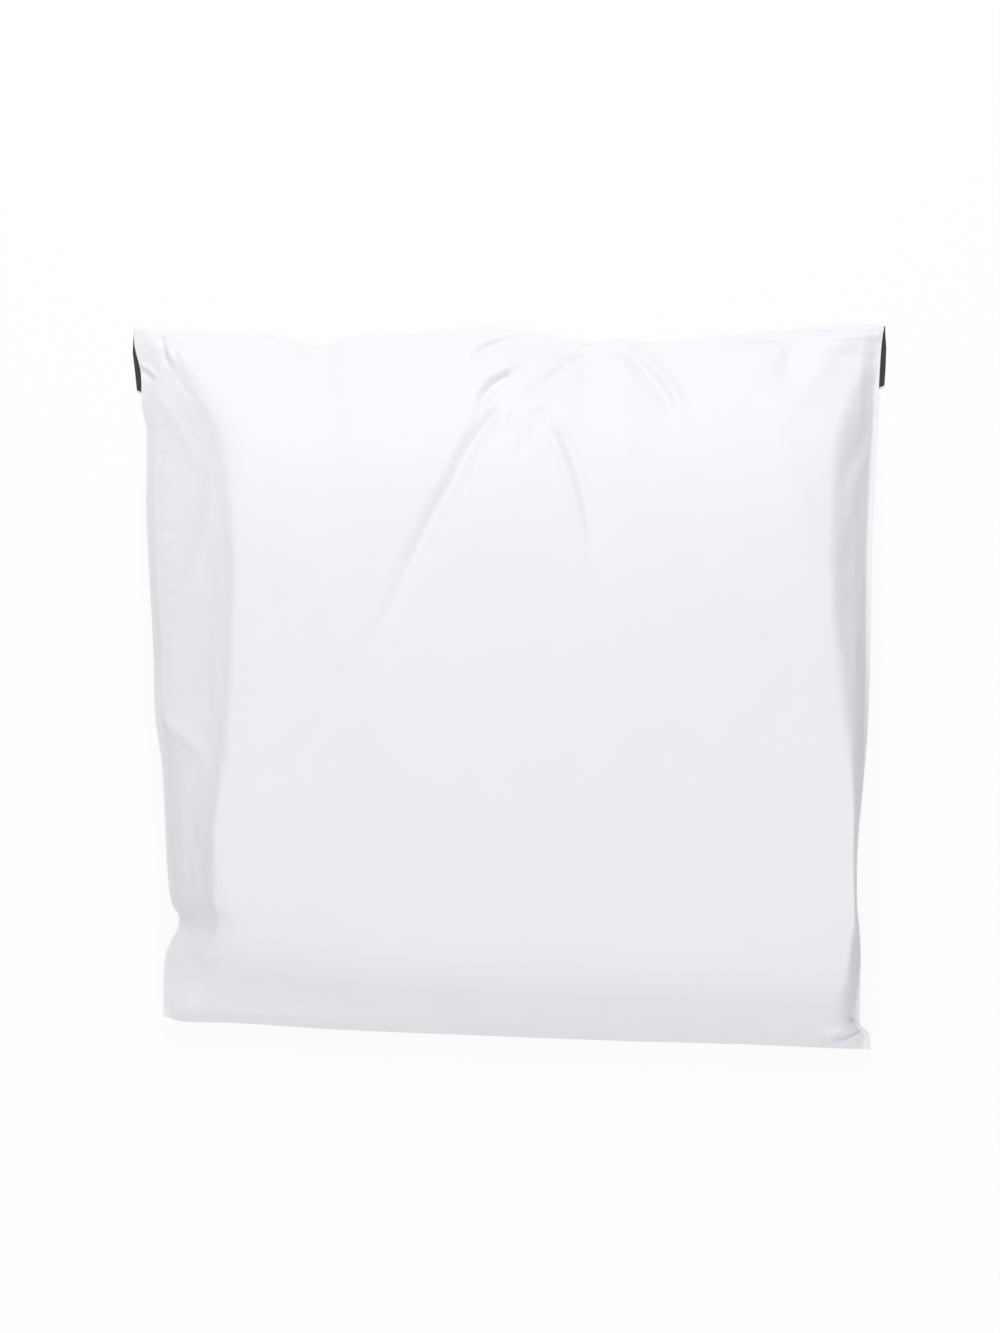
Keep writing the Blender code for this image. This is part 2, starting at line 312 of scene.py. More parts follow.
class PackedBag:
    """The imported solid, read as an outline and as the heights of its front and back panels."""

    rows_read = 400
    sure_width = 0.8
    past_box = 0.01
    past_end = 0.004
    read_step = 0.4 * MM
    read_tries = 12

    def __init__(self, node: str) -> None:
        """Read the CAD node of this name."""
        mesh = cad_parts[node].data
        self.points = np.array([v.co for v in mesh.vertices])
        faces = [tuple(p.vertices) for p in mesh.polygons]
        self.tree = BVHTree.FromPolygons([tuple(p) for p in self.points], faces)
        self.low, self.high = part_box(node)
        self.rows = np.linspace(self.low.y - 0.002, self.high.y + 0.002, self.rows_read)
        self.lefts = np.array([self.side_at(y, -1) for y in self.rows])
        self.rights = np.array([self.side_at(y, 1) for y in self.rows])
        self.keep_sides()

    def from_above(self, x: float, y: float) -> float:
        """Height of the first surface met from above, or -1 where there is none."""
        hit = self.tree.ray_cast(Vector((x, y, RAY_START)), Vector((0, 0, -1)))[0]
        return hit.z if hit else -1.0

    def from_below(self, x: float, y: float, start: float = -RAY_START) -> float:
        """Height of the first surface met from below, or -1 where there is none."""
        hit = self.tree.ray_cast(Vector((x, y, start)), Vector((0, 0, 1)))[0]
        return hit.z if hit else -1.0

    def side_at(self, y: float, sign: int) -> float:
        """X of the body's left (sign -1) or right (sign 1) edge, without the flap, or nan past its ends."""
        inside, outside = sign * self.high.x * self.sure_width, sign * (self.high.x + self.past_box)
        if self.from_above(inside, y) < FLAP_TOP:
            return math.nan
        return furthest(inside, outside, lambda x: self.from_above(x, y) > FLAP_TOP, EDGE_HALVINGS)

    def corner(self, across: int, along: int) -> np.ndarray:
        """The solid's point that lies furthest towards one corner."""
        return self.points[(self.points[:, 0] * across + self.points[:, 1] * along).argmax()]

    def keep_sides(self) -> None:
        """Drop edge readings that belong to the top or the bottom, and carry the last one on."""
        for sign, edge in ((-1, self.lefts), (1, self.rights)):
            lowest, highest = self.corner(sign, -1)[1], self.corner(sign, 1)[1]
            good = (self.rows > lowest + 0.002) & (self.rows < highest - 0.003) & ~np.isnan(edge)
            edge[:] = np.interp(self.rows, self.rows[good], edge[good])

    def across(self, share: float, y: float) -> float:
        """X at a share of the body's width."""
        left, right = np.interp(y, self.rows, self.lefts), np.interp(y, self.rows, self.rights)
        return float(left + (right - left) * share)

    def end_at(self, share: float, sign: int) -> float:
        """Y of the top fold (sign 1) or of the bottom fold (sign -1) at a share of the width."""
        share = min(max(share, 0.002), 0.998)
        outside = self.high.y + self.past_end if sign > 0 else self.low.y - self.past_end
        return furthest(
            0.0, outside, lambda y: self.from_above(self.across(share, y), y) > FLAP_TOP, EDGE_HALVINGS
        )

    def end_line(self, shares: np.ndarray, sign: int) -> np.ndarray:
        """Y of the top fold's roll (sign 1) or of the bottom fold (sign -1), without its small corners.

        Args:
            shares: Shares of the body's width.
            sign: Which end of the bag.

        Returns:
            One Y for each share.
        """
        line = np.array([self.end_at(share, sign) for share in shares])
        if sign > 0:
            line -= ROLL_RADIUS
        for _ in range(6):
            line[1:-1] = (line[:-2] + 2 * line[1:-1] + line[2:]) / 4
        return line

    def flap_edge(self, share: float, top: float) -> float:
        """Y of the flap's free edge, 30 to 70 mm below the top fold, at a share of the width."""
        return furthest(
            top - 0.030,
            top - 0.070,
            lambda y: abs(self.from_below(self.across(share, y), y)) < ON_GROUND,
            FLAP_HALVINGS,
        )

    def flap_side(self, y: float, sign: int) -> float:
        """X of the flap's left (sign -1) or right (sign 1) end, seen from below."""
        inside, outside = sign * self.high.x * self.sure_width, sign * (self.high.x + self.past_box)
        return furthest(inside, outside, lambda x: abs(self.from_below(x, y)) < ON_GROUND, FLAP_END_HALVINGS)

    def heights(self, xs: np.ndarray, ys: np.ndarray, free: np.ndarray | None = None) -> np.ndarray:
        """Heights of the front panel, or of the back panel where the flap's free edge is given.

        Past the solid's cut corners, the height is read a little further in.

        Args:
            xs: X of each point of a grid.
            ys: Y of each point.
            free: Y of the flap's free edge for each column of the grid.

        Returns:
            A grid of heights.
        """
        found = np.zeros(xs.shape)
        for i, j in np.ndindex(xs.shape):
            x, y = xs[i, j], ys[i, j]
            over_flap = free is not None and y > free[i] - 0.5 * MM
            for _ in range(self.read_tries):
                if free is None:
                    z, least = self.from_above(x, y), FLAP_TOP
                else:
                    z, least = self.from_below(x, y, FLAP_TOP if over_flap else -RAY_START), 0.0
                if z >= least:
                    break
                x -= math.copysign(self.read_step, x)
                y -= math.copysign(self.read_step, y)
            found[i, j] = max(z, least)
        return found


@dataclass(frozen=True)
class WhiteFilm:
    """Co-extruded low-density polythene film, blown as a tube: white, semi-gloss, faintly rippled."""

    colour: str = "#F3F4F7"
    dusty: str = "#F0F1F5"
    roughness: float = 0.46
    ior: float = 1.51
    gloss: float = 0.36
    haze_mm: float = 60.0
    scuff_mm: float = 9.0
    grain_mm: float = 0.9
    ripple_mm: float = 14.0
    streak_mm: float = 3.0
    bump: float = 0.12
    bump_mm: float = 0.2

    def make(self) -> bpy.types.Material:
        """The film's material, in Object coordinates."""
        material, tree = new_material("white_polythene_film")
        shader = tree.nodes["Principled BSDF"]
        place = add_node(tree, "ShaderNodeTexCoord").outputs["Object"]
        # White pigment all through the resin scatters light: the eye gets a milky white, nearly spotless
        haze = add_noise(tree, place, self.haze_mm * MM, 3.0, 0.6)
        tree.links.new(add_blend(tree, haze, self.colour, self.dusty), shader.inputs["Base Color"])
        # Film blown as a tube freezes before it is smooth, and handling dulls it: the eye gets broad,
        # soft highlights with no edge, a little duller in scuffed patches
        scuff = add_noise(tree, place, self.scuff_mm * MM, 6.0, 0.7)
        limits = {
            "Value": scuff,
            "From Min": 0.3,
            "From Max": 0.7,
            "To Min": self.roughness - 0.05,
            "To Max": self.roughness + 0.07,
        }
        dullness = add_node(tree, "ShaderNodeMapRange", limits).outputs["Result"]
        tree.links.new(dullness, shader.inputs["Roughness"])
        shader.inputs["IOR"].default_value = self.ior
        shader.inputs["Specular IOR Level"].default_value = self.gloss
        # The die draws faint streaks along the tube, across which the film cools unevenly into ripples.
        # Real die lines are finer than a render can show, so they are drawn coarser, 3 mm apart
        drawn_out = {"Vector": place, "Scale": (1 / (self.streak_mm * MM), 4.0, 4.0)}
        streaks = add_noise(tree, add_node(tree, "ShaderNodeMapping", drawn_out).outputs["Vector"], 1.0, 2.0)
        grain = add_noise(tree, place, self.grain_mm * MM, 2.0)
        ripple = add_noise(tree, place, self.ripple_mm * MM, 4.0)
        fine = add_node(tree, "ShaderNodeMath", {0: streaks, 1: grain}, operation="ADD")
        wavy = add_node(
            tree, "ShaderNodeMath", {0: ripple, 1: 4.0, 2: fine.outputs[0]}, operation="MULTIPLY_ADD"
        )
        add_relief(tree, wavy.outputs[0], self.bump, self.bump_mm * MM)
        return material


@dataclass(frozen=True)
class DarkLining:
    """The film's inner layer: the same polythene, loaded with recycled grey so that nothing shows through."""

    colour: str = "#3A3838"
    deep: str = "#2C2A2B"
    roughness: float = 0.5
    grain_mm: float = 0.8
    bump: float = 0.1
    bump_mm: float = 0.1

    def make(self) -> bpy.types.Material:
        """The lining's material, in Object coordinates."""
        material, tree = new_material("grey_polythene_lining")
        shader = tree.nodes["Principled BSDF"]
        place = add_node(tree, "ShaderNodeTexCoord").outputs["Object"]
        # Recycled film is dyed dark and never mixes fully: the eye gets a near black with paler specks,
        # which also stand proud and keep it satin
        specks = add_noise(tree, place, self.grain_mm * MM, 3.0)
        tree.links.new(add_blend(tree, specks, self.deep, self.colour), shader.inputs["Base Color"])
        add_relief(tree, specks, self.bump, self.bump_mm * MM)
        shader.inputs["Roughness"].default_value = self.roughness
        return material


@dataclass(frozen=True)
class StudioPaper:
    """Seamless paper: white with the bag's shadow to the camera and in gloss, and pale grey as a bounce."""

    colour: str = "#FAFAFB"
    bounce: str = "#C4C5C8"
    glow: float = 0.90

    def make(self) -> bpy.types.Material:
        """The paper's material, plain because coated paper on a roll shows the eye no grain."""
        material, tree = new_material("white_seamless_paper")
        tree.nodes.clear()
        path = add_node(tree, "ShaderNodeLightPath").outputs
        seen = add_node(
            tree, "ShaderNodeMath", {0: path["Is Camera Ray"], 1: path["Is Glossy Ray"]}, operation="MAXIMUM"
        ).outputs[0]
        share = add_node(tree, "ShaderNodeMath", {0: seen, 1: self.glow}, operation="MULTIPLY")
        tone = add_blend(tree, seen, self.bounce, self.colour)
        paper = add_node(tree, "ShaderNodeBsdfDiffuse", {"Color": tone})
        white = add_node(tree, "ShaderNodeEmission", {"Color": (1.0, 1.0, 1.0, 1.0), "Strength": 1.0})
        both = add_node(
            tree, "ShaderNodeMixShader", {0: share.outputs[0], 1: paper.outputs[0], 2: white.outputs[0]}
        )
        add_node(tree, "ShaderNodeOutputMaterial", {"Surface": both.outputs[0]})
        return material


@dataclass(frozen=True)
class Wrinkles:
    """The film's creases: those that carrying the bag has left, and the small ones at its welds."""

    folds: tuple[FilmFold, ...]
    edge_folds: tuple[FilmFold, ...]
    seed: int = 11
    puckers: int = 34
    pucker_inset: float = 0.007
    pucker_reach: tuple[float, float] = (0.012, 0.042)
    pucker_tilt: float = 0.35
    pucker_bend: float = 0.002
    pucker_height: tuple[float, float] = (0.18, 0.62)
    pucker_width: tuple[float, float] = (1.6, 3.4)
    full_depth: float = 9.0 * MM
    swell: float = 0.12 * MM
    waves: int = 14
    wave_length: tuple[float, float] = (0.035, 0.110)

    def side_puckers(self, packed: PackedBag, rng: np.random.Generator) -> list[FilmFold]:
        """Small pleats that run inwards from both side welds.

        Args:
            packed: Where the welds are.
            rng: Source of their places and sizes.

        Returns:
            The pleats.
        """
        found = []
        kinds = (FoldKind.VALLEY, FoldKind.PLEAT, FoldKind.RIDGE)
        for number in range(self.puckers):
            sign = -1 if number % 2 else 1
            y = rng.uniform(packed.low.y + 0.05, packed.high.y - 0.07)
            start = packed.across(0.0 if sign < 0 else 1.0, y) - sign * self.pucker_inset
            reach = rng.uniform(*self.pucker_reach)
            tilt = rng.normal(0.0, self.pucker_tilt)
            route = tuple(
                ((start - sign * reach * k) / MM, (y + reach * k * tilt + self.pucker_bend * k * k) / MM)
                for k in (0.0, 0.5, 1.0)
            )
            height, width = rng.uniform(*self.pucker_height), rng.uniform(*self.pucker_width)
            found.append(FilmFold(kinds[number % 3], route, height, width, 0.15, 0.7))
        return found

    def lift(self, packed: PackedBag, front: np.ndarray, fullness: np.ndarray) -> np.ndarray:
        """Height that all the creases add to the front panel.

        Args:
            packed: Where the welds are.
            front: The panel's points.
            fullness: Height of the front panel over the back one, at each point.

        Returns:
            A grid of heights.
        """
        rng = np.random.default_rng(self.seed)
        places = front[..., :2].reshape(-1, 2)
        deep = sum(fold.lift(places) for fold in self.folds)
        deep = deep + sum(fold.lift(places) for fold in self.side_puckers(packed, rng))
        for _ in range(self.waves):
            turn, length = rng.uniform(0.0, math.tau), rng.uniform(*self.wave_length)
            way = np.array([math.cos(turn), math.sin(turn)]) * math.tau / length
            deep = deep + self.swell / math.sqrt(self.waves) * np.sin(places @ way + rng.uniform(0, math.tau))
        flat = sum(fold.lift(places) for fold in self.edge_folds)
        gate = smooth(fullness / self.full_depth)
        return deep.reshape(gate.shape) * gate + flat.reshape(gate.shape)


VALLEY, RIDGE, PLEAT = FoldKind.VALLEY, FoldKind.RIDGE, FoldKind.PLEAT
# Creases that the top edge's grip has pulled into the front
GRIP_FOLDS = (
    # The long crease down to the left, the ridge along it and the crumple at its end
    FilmFold(
        VALLEY,
        ((-6, 229), (-34, 190), (-43, 166), (-58, 142), (-80, 94), (-98, 54), (-124, 6)),
        5.6, 6.4, 0.1, 0.6,
    ),
    FilmFold(RIDGE, ((-20, 222), (-44, 190), (-66, 144), (-92, 88)), 0.5, 5.0, 0.2, 0.7),
    FilmFold(VALLEY, ((-126, 20), (-136, 8), (-141, -11), (-142, -26)), 1.1, 4.2, 0.3, 0.4),
    FilmFold(VALLEY, ((-108, 24), (-119, 12), (-123, -11), (-127, -35)), 1.2, 4.2, 0.3, 0.5),
    # The shorter crease down to the right, and the dent that it starts from
    FilmFold(
        PLEAT,
        ((31, 214), (42, 195), (50, 172), (56, 150), (60, 128), (63, 104), (64, 80)),
        -2.0, 4.4, 0.15, 0.6,
    ),
    FilmFold(VALLEY, ((14, 223), (28, 218), (37, 209)), 1.3, 3.4, 0.3, 0.4),
    # Arcs on the grip's left
    FilmFold(VALLEY, ((24, 284), (-2, 282), (-18, 275), (-29, 266), (-34, 256)), 3.4, 3.6, 0.1, 0.35),
    FilmFold(RIDGE, ((2, 276), (-14, 268), (-24, 257)), 1.4, 3.4, 0.2, 0.5),
    FilmFold(VALLEY, ((4, 254), (-12, 244), (-21, 234), (-25, 220)), 4.2, 3.2, 0.2, 0.4),
    FilmFold(RIDGE, ((10, 263), (-18, 250), (-33, 228)), 1.8, 3.4, 0.2, 0.5),
    FilmFold(PLEAT, ((-10, 240), (-22, 218), (-36, 196)), 0.9, 3.0, 0.3, 0.6),
    # The long arc on its right
    FilmFold(
        PLEAT, ((84, 282), (105, 266), (119, 250), (129, 237), (135, 221), (136, 208)), 2.4, 4.6, 0.15, 0.35
    ),
    # Short straight creases below it
    FilmFold(VALLEY, ((0, 224), (0, 197)), 1.6, 2.2, 0.3, 0.6),
    FilmFold(VALLEY, ((9, 203), (9, 175)), 1.3, 2.2, 0.3, 0.6),
    FilmFold(VALLEY, ((17, 214), (20, 190)), 1.0, 2.4, 0.3, 0.6),
    # The slack film between the grip and the top edge
    FilmFold(VALLEY, ((73, 277), (40, 254), (4, 227)), 2.4, 4.4, 0.15, 0.2),
    FilmFold(RIDGE, ((60, 252), (34, 238), (14, 220)), 1.2, 4.0, 0.3, 0.4),
    FilmFold(PLEAT, ((37, 265), (73, 273)), 0.7, 3.4),
    FilmFold(VALLEY, ((62, 290), (78, 268), (82, 240)), 1.1, 4.0, 0.2, 0.7),
)
CORNER_FOLDS = (
    # The left shoulder's edge
    FilmFold(
        RIDGE,
        ((-221, 190), (-220, 70), (-222, -11), (-230, -59), (-239, -132), (-242, -178)),
        0.6, 5.0, 0.15, 0.15,
    ),
    # The top left corner, and the facets that run down from it
    FilmFold(VALLEY, ((-270, 254), (-262, 240), (-254, 228)), 0.8, 2.4, 0.3, 0.6),
    FilmFold(RIDGE, ((-271, 285), (-266, 268), (-256, 250)), 1.0, 3.2, 0.2, 0.6),
    FilmFold(VALLEY, ((-295, 279), (-295, 266)), 0.8, 2.0),
    FilmFold(RIDGE, ((-298, 251), (-270, 215), (-249, 179), (-224, 167)), 0.9, 5.0),
    FilmFold(RIDGE, ((-232, 175), (-249, 110), (-275, 30)), 1.3, 7.0, 0.25, 0.5),
    # The top right corner and the right side
    FilmFold(VALLEY, ((230, 283), (224, 258), (218, 235)), 1.6, 6.0),
    FilmFold(VALLEY, ((299, 222), (275, 181), (257, 140)), 1.4, 6.0, 0.3, 0.5),
    FilmFold(RIDGE, ((299, 207), (280, 168), (266, 110), (264, 60)), 1.3, 5.0, 0.3, 0.5),
    FilmFold(VALLEY, ((284, 30), (274, 30), (262, 44)), 1.0, 3.4),
    # The crease across the left side, and the one at its notch
    FilmFold(RIDGE, ((-290, -25), (-262, -43), (-236, -66)), 1.8, 10.0, 0.2, 0.3),
    FilmFold(PLEAT, ((-290, -26), (-262, -43), (-237, -64)), 0.6, 4.4, 0.1, 0.5),
    FilmFold(VALLEY, ((-264, -188), (-258, -199), (-252, -208)), 0.8, 3.4, 0.2, 0.5),
)
EDGE_FOLDS = (
    # Pleats over the top left weld, and the two folds that run into the top right corner
    FilmFold(PLEAT, ((-281, 286), (-277, 268), (-270, 254)), 1.5, 2.2, 0.1, 0.4),
    FilmFold(PLEAT, ((-301, 260), (-293, 255), (-285, 247)), 1.3, 2.2, 0.1, 0.4),
    FilmFold(RIDGE, ((246, 283), (280, 285), (304, 285)), 1.6, 4.0, 0.4, 0.1),
    FilmFold(VALLEY, ((246, 270), (280, 268), (302, 263)), 1.8, 5.5, 0.4, 0.15),
    # The crumple of the turned-out corner at the bottom right
    FilmFold(VALLEY, ((289, -277.5), (270, -282), (250, -288)), 3.4, 1.8, 0.1, 0.15),
    FilmFold(PLEAT, ((289, -276.5), (270, -281), (250, -287)), -2.4, 3.2, 0.1, 0.2),
    FilmFold(RIDGE, ((291, -280.8), (272, -285.4), (255, -290.6)), 2.8, 1.9, 0.15, 0.3),
    FilmFold(VALLEY, ((272, -264), (279, -271), (286, -267)), 4.4, 1.8, 0.3, 0.3),
    FilmFold(RIDGE, ((269, -268), (276, -274.5), (284, -272)), 2.0, 1.8, 0.3, 0.3),
    FilmFold(VALLEY, ((290, -260), (283, -266), (278, -274)), 3.4, 1.5, 0.3, 0.3),
    # Fine lines along the top fold
    FilmFold(VALLEY, ((202, 288), (250, 288), (303, 288)), 0.8, 1.0, 0.2, 0.1),
    FilmFold(RIDGE, ((150, 278), (220, 281), (303, 283)), 0.4, 1.6, 0.3, 0.1),
    FilmFold(VALLEY, ((163, 278.5), (200, 278.5), (234, 278.5)), 0.8, 1.0, 0.3, 0.3),
    FilmFold(VALLEY, ((-304, 283), (-240, 279), (-170, 271)), 0.25, 1.4, 0.1, 0.5),
)


@dataclass(frozen=True)
class TautFlank:
    """The front panel beside one side weld, where the film spans from the weld to the filling's shoulder.

    Each stop gives, in millimetres, Y from the middle of the bag's box, how far in the shoulder lies,
    and how far in the solid reaches the filling's own level. Roundness is given by Y too: 1 is a
    straight slope, more is a bulging one and less a hollow one. The hem is flat film outside the slope.
    """

    stops: tuple[tuple[float, float, float], ...]
    roundness: Stops
    hem: float
    deepest_grade: float = 0.06
    grade_run: float = 12.0 * MM
    end_fade: float = 18.0 * MM
    hem_from: float = 8 * MM
    hem_run: float = 16 * MM

    def shape(self, front: np.ndarray, edge: np.ndarray) -> np.ndarray:
        """Heights of the front panel with its film pulled straight along this side.

        Args:
            front: The panel's points, by column and row.
            edge: X of this side's edge, at each of the points.

        Returns:
            A grid of heights.
        """
        heights = front[..., 2].copy()
        inwards = np.abs(front[..., 0] - edge)
        places, shoulders, levels = np.array(self.stops).T * MM
        curve_places, curves = np.array(self.roundness).T
        for row in range(front.shape[1]):
            order = np.argsort(inwards[:, row])
            gaps, solid = inwards[order, row], heights[order, row]
            middle_y = front[order[0], row, 1]
            shoulder, level = (float(np.interp(middle_y, places, part)) for part in (shoulders, levels))
            roundness = float(np.interp(middle_y, curve_places * MM, curves))
            start, further = np.interp((level, level + self.grade_run), gaps, solid)
            grade = min(max((further - start) / self.grade_run, 0.0), self.deepest_grade)
            body = np.where(gaps < level, start - grade * (level - gaps), solid)
            hem = self.hem * smooth((shoulder - self.hem_from) / self.hem_run)
            share = np.clip((gaps - hem) / (shoulder - hem), 0.0, 1.0)
            taut = solid[0] + (body - solid[0]) * (1 - (1 - share) ** roundness)
            ends = front[order[0], -1, 1] - middle_y, middle_y - front[order[0], 0, 1]
            blend = smooth(ends[0] / self.end_fade) * smooth(ends[1] / self.end_fade)
            heights[order, row] = np.where(gaps < level, solid + (taut - solid) * blend, solid)
        return heights


LEFT_FLANK = TautFlank(
    stops=(
        (-262, 18, 20), (-238, 24, 26), (-218, 34, 38), (-200, 36, 40), (-187, 34, 38),
        (-172, 38, 42), (-140, 42, 46), (-108, 43, 50), (-75, 49, 60), (-43, 59, 72),
        (-11, 65, 78), (30, 67, 82), (70, 71, 82), (102, 74, 82), (134, 72, 80),
        (167, 70, 76), (199, 64, 66), (231, 54, 56), (255, 42, 42), (275, 22, 22),
    ),
    roundness=((0, 0.9),),
    hem=0.5 * MM,
)
RIGHT_FLANK = TautFlank(
    stops=(
        (-262, 22, 30), (-238, 16, 34), (-204, 12, 34), (-190, 7, 34), (-172, 6, 34),
        (-108, 9, 34), (-75, 14, 36), (-43, 20, 38), (-11, 25, 40), (22, 28, 42),
        (54, 32, 46), (102, 34, 48), (150, 34, 52), (175, 34, 60), (190, 34, 66),
        (205, 33, 70), (222, 28, 68), (240, 23, 56), (255, 18, 44), (275, 14, 26),
    ),
    roundness=((-43, 1.5), (-11, 1.4), (22, 1.2), (54, 1.05)),
    hem=4.0 * MM,
    deepest_grade=0.16,
)


@dataclass
class SlackTrial:
    """A short cloth simulation in which the front panel's spare film settles on the filling."""

    count: int = 110
    frames: int = 24
    shrink: float = -0.012
    gap: float = 1.0 * MM
    gap_run: float = 8 * MM
    lowest_gap: float = 0.3 * MM
    most: float = 4.0 * MM
    even_rounds: int = 60
    edge_fade: float = 26 * MM
    quality: int = 6
    mass: float = 0.02
    stretch_stiffness: float = 20.0
    shear_stiffness: float = 8.0
    bending: float = 0.15
    damping: float = 3.0
    friction: float = 12.0
    support_skin: float = 0.4 * MM
    film_skin: float = 0.6 * MM
    rim: int = 2
    crown: float = 0.045
    crown_run: float = 0.02

    def grid_object(self, name: str, points: np.ndarray) -> bpy.types.Object:
        """A grid of points as an object of quads in the scene."""
        return mesh_object(name, points.reshape(-1, 3), grid_faces(numbered(points)))

    def dress(self, film: bpy.types.Object, fullness: np.ndarray) -> None:
        """Give the film its cloth settings, held at its rim and loose where the filling is low."""
        held = film.vertex_groups.new(name="held")
        loose = film.vertex_groups.new(name="loose")
        columns, rows = fullness.shape
        for i, j in np.ndindex(columns, rows):
            if min(i, j, columns - 1 - i, rows - 1 - j) < self.rim:
                held.add([i * rows + j], 1.0, "REPLACE")
            slope = 1.0 - float(smooth((fullness[i, j] - self.crown) / self.crown_run))
            loose.add([i * rows + j], slope, "REPLACE")
        cloth = film.modifiers.new("Cloth", "CLOTH")
        settings = cloth.settings
        settings.quality = self.quality
        settings.mass = self.mass
        settings.tension_stiffness = settings.compression_stiffness = self.stretch_stiffness
        settings.shear_stiffness = self.shear_stiffness
        settings.bending_stiffness = self.bending
        settings.air_damping = self.damping
        settings.vertex_group_mass = "held"
        settings.vertex_group_shrink = "loose"
        settings.shrink_min = 0.0
        settings.shrink_max = self.shrink
        cloth.collision_settings.distance_min = self.film_skin
        cloth.collision_settings.use_self_collision = False
        cloth.point_cache.frame_end = self.frames

    def run(self, points: np.ndarray, fullness: np.ndarray) -> np.ndarray:
        """Let the film settle.

        Args:
            points: The front panel's points, at even shares of its width and length.
            fullness: Height of the front panel over the back one, at each point.

        Returns:
            How far each point moves.
        """
        film = self.grid_object("film_trial", points)
        filling = points.copy()
        filling[..., 2] -= self.gap * smooth(fullness / self.gap_run) + self.lowest_gap
        support = self.grid_object("filling_trial", filling)
        support.modifiers.new("Collision", "COLLISION")
        support.collision.thickness_outer = self.support_skin
        support.collision.cloth_friction = self.friction
        self.dress(film, fullness)
        scene = bpy.context.scene
        for number in range(1, self.frames + 1):
            scene.frame_set(number)
        settled = film.evaluated_get(bpy.context.evaluated_depsgraph_get())
        found = np.zeros(len(film.data.vertices) * 3)
        settled.data.vertices.foreach_get("co", found)
        moved = found.reshape(points.shape) - points
        scene.frame_set(1)
        for leftover in (film, support):
            mesh = leftover.data
            bpy.data.objects.remove(leftover)
            bpy.data.meshes.remove(mesh)
        for k in range(3):
            moved[..., k] = relax(moved[..., k] - relax(moved[..., k], self.even_rounds), 2)
        length = np.linalg.norm(moved, axis=2, keepdims=True)
        moved *= np.minimum(1.0, self.most / np.maximum(length, 1e-9))
        from_sides = np.minimum(points[..., 0] - points[:1, :, 0], points[-1:, :, 0] - points[..., 0])
        from_ends = np.minimum(points[..., 1] - points[:, :1, 1], points[:, -1:, 1] - points[..., 1])
        return moved * smooth(np.minimum(from_sides, from_ends) / self.edge_fade)[..., None]


